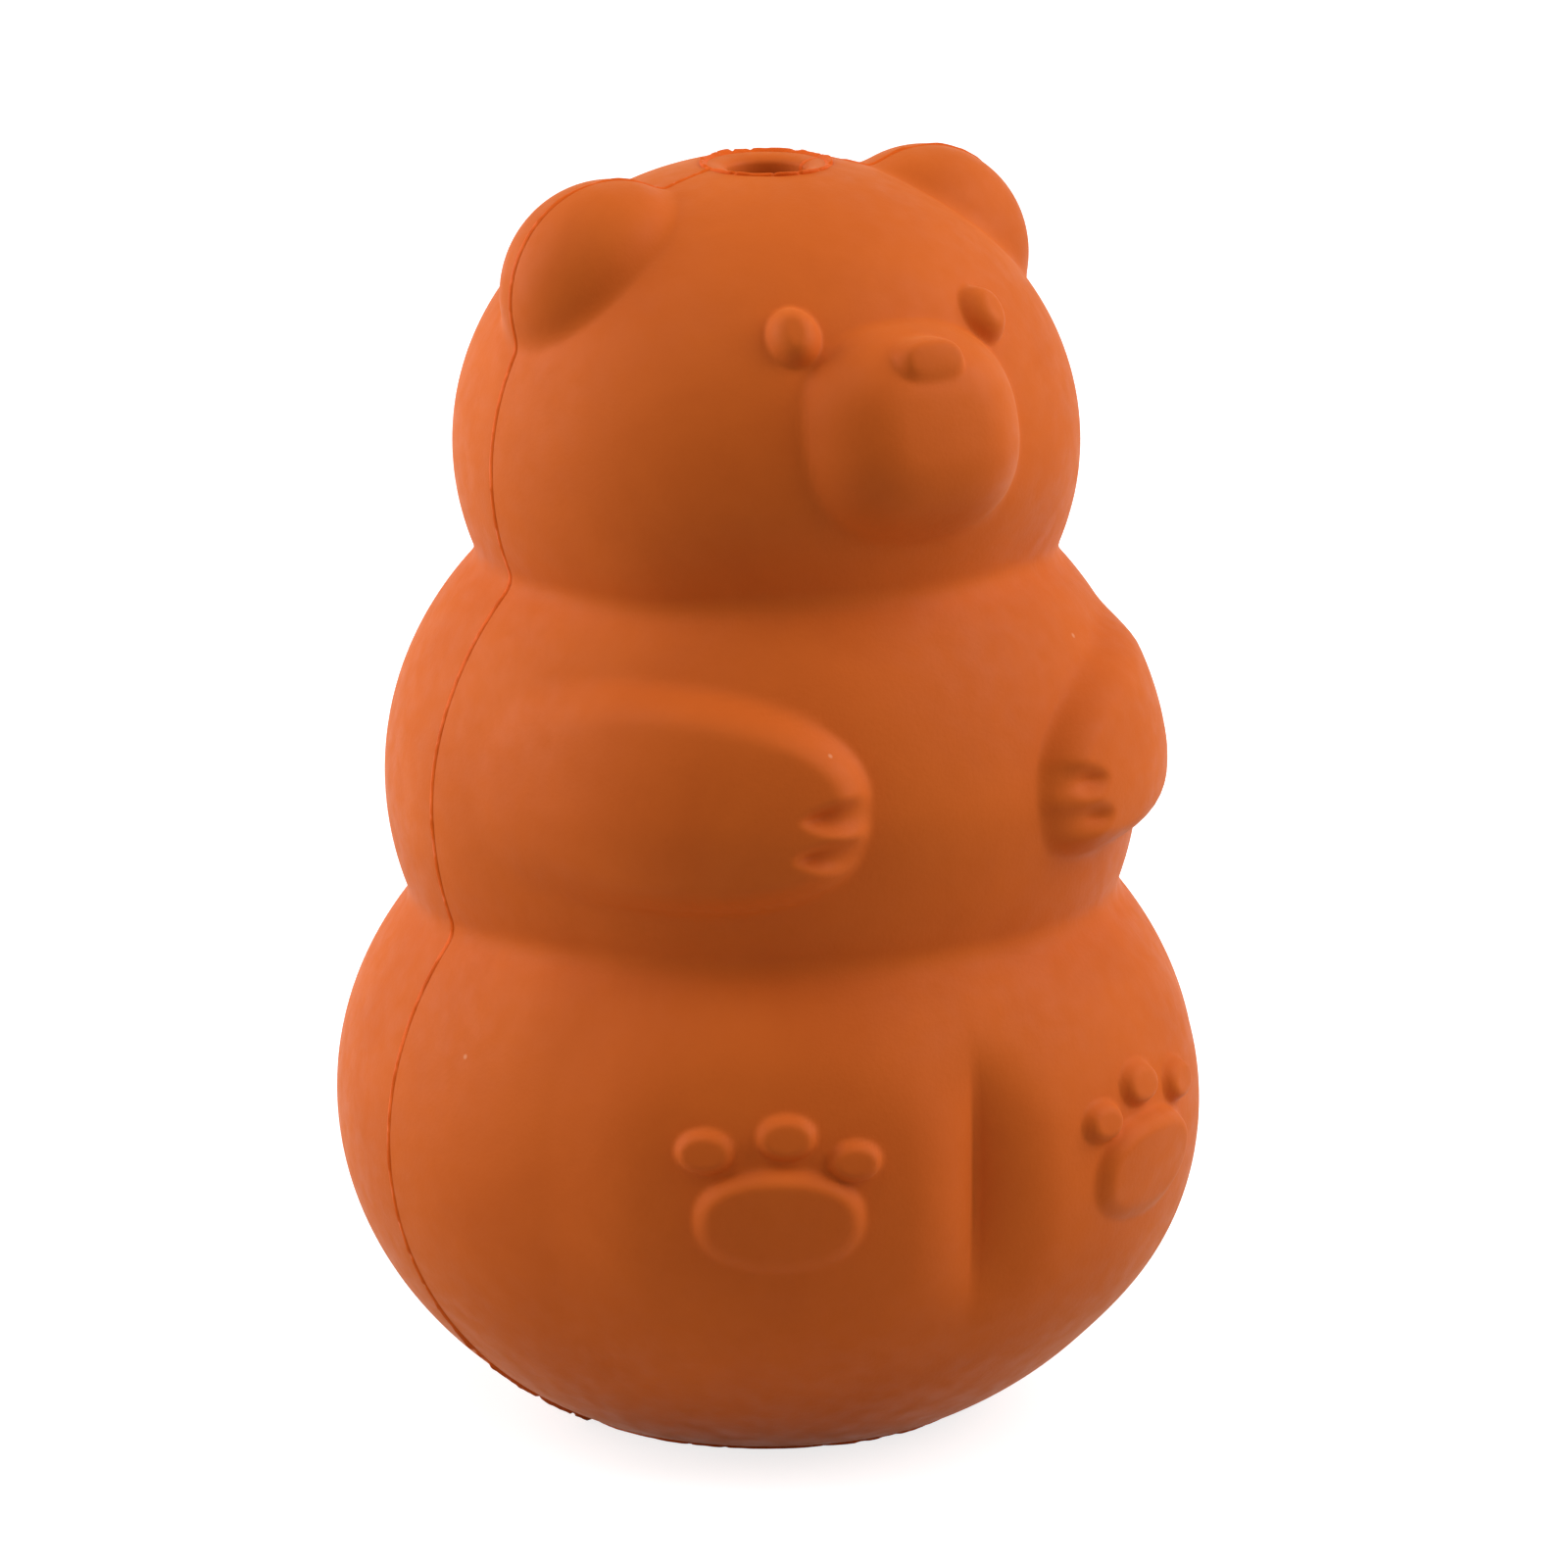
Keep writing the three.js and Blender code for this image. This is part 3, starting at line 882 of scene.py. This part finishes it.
def lamp(name, azimuth, elevation, size, power):
    """A round soft box that faces the middle of the toy."""
    light = bpy.data.lights.new(name, "AREA")
    light.shape, light.size, light.energy = "DISK", size, power
    box = bpy.data.objects.new(name, light)
    a, e = math.radians(azimuth), math.radians(elevation)
    away = Vector((math.sin(a) * math.cos(e), -math.cos(a) * math.cos(e), math.sin(e)))
    box.location = lamp_aim + away * lamp_distance
    box.rotation_euler = away.to_track_quat("Z", "Y").to_euler()
    bpy.context.scene.collection.objects.link(box)
    print(f"{name}: {power} W, {size} m across")


lamp("left_box", azimuth=-130, elevation=20, size=0.6, power=3.2)
lamp("right_box", azimuth=60, elevation=35, size=0.6, power=3.25)
lamp("top_box", azimuth=-90, elevation=65, size=0.4, power=0.87)

# %% [markdown]
# ## White floor and surroundings
# Camera and reflection rays see the floor and the room as white. Other rays see a plain floor, which
# bounces light, and a dimmer room. Near the toy the floor glows a little less, which paints a soft
# shadow round it, and the real shadow on its matt part shows there too.

# %% Floor and world
floor_half = 3
floor_grey = (0.5, 0.5, 0.5, 1)
# Painted shadow: within shade_start of the middle the floor's glow drops to shade_glow, and it is full again
# beyond shade_end, in metres.
shade_start, shade_end, shade_glow = 0.06, 0.22, 0.78
room_light = 0.242


def white_to_rays(tree):
    """A value of 1 for camera, reflection and see-through rays, and 0 for the rest."""
    rays = add_node(tree, "LightPath").outputs
    both = add_node(tree, "Math", {
        0: rays["Is Camera Ray"], 1: rays["Is Glossy Ray"],
    }, operation="MAXIMUM")
    all_three = add_node(tree, "Math", {
        0: both.outputs[0], 1: rays["Is Transmission Ray"],
    }, operation="MAXIMUM")
    return all_three.outputs[0]


def white_paper():
    """A matt floor that glows white for the camera, and less near the toy as a painted shadow."""
    paper = bpy.data.materials.new("white_paper")
    paper.use_nodes = True
    tree = paper.node_tree
    tree.nodes.clear()
    place = add_node(tree, "TexCoord").outputs["Object"]
    far = add_node(tree, "VectorMath", {0: place}, operation="LENGTH")
    # A painted shadow: the glow is dimmer near the toy, wherever the lamps shine.
    painted_shadow_glow = add_node(tree, "MapRange", {
        "Value": far.outputs["Value"], "From Min": shade_start, "From Max": shade_end,
        "To Min": shade_glow, "To Max": 1.0,
    })
    shown = add_node(tree, "Math", {0: painted_shadow_glow.outputs[0], 1: white_to_rays(tree)}, operation="MULTIPLY")
    light = add_node(tree, "Emission", {"Strength": shown.outputs[0]})
    matt = add_node(tree, "BsdfDiffuse", {"Color": floor_grey})
    total = add_node(tree, "AddShader", {0: light.outputs[0], 1: matt.outputs[0]})
    add_node(tree, "OutputMaterial", {"Surface": total.outputs[0]})
    return paper


floor_bm = bmesh.new()
bmesh.ops.create_grid(floor_bm, x_segments=1, y_segments=1, size=floor_half)
floor_mesh = bpy.data.meshes.new("pale_floor")
floor_bm.to_mesh(floor_mesh)
floor_bm.free()
floor_mesh.materials.append(white_paper())
floor = bpy.data.objects.new("pale_floor", floor_mesh)
bpy.context.scene.collection.objects.link(floor)
floor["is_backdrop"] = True

world = bpy.data.worlds.new("studio")
world.use_nodes = True
room = world.node_tree.nodes["Background"]
strength = add_node(world.node_tree, "MapRange", {
    "Value": white_to_rays(world.node_tree), "To Min": room_light, "To Max": 1.0,
})
world.node_tree.links.new(strength.outputs[0], room.inputs["Strength"])
room.inputs["Color"].default_value = (1, 1, 1, 1)
bpy.context.scene.world = world
bpy.context.scene.view_settings.view_transform = "Standard"

# %% [markdown]
# ## Size at the end
# Dressing a piece mustn't change its size. The box of the imported model and the box of the dressed one
# are compared, and the largest step of the dressed one past the imported one is printed.

# %% Finish
visual_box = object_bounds()
past_low = [cad - visual for cad, visual in zip(cad_box[0], visual_box[0])]
past_high = [visual - cad for cad, visual in zip(cad_box[1], visual_box[1])]
print(f"largest step past the packed box: {max(past_low + past_high) / METRES:.2f} mm")
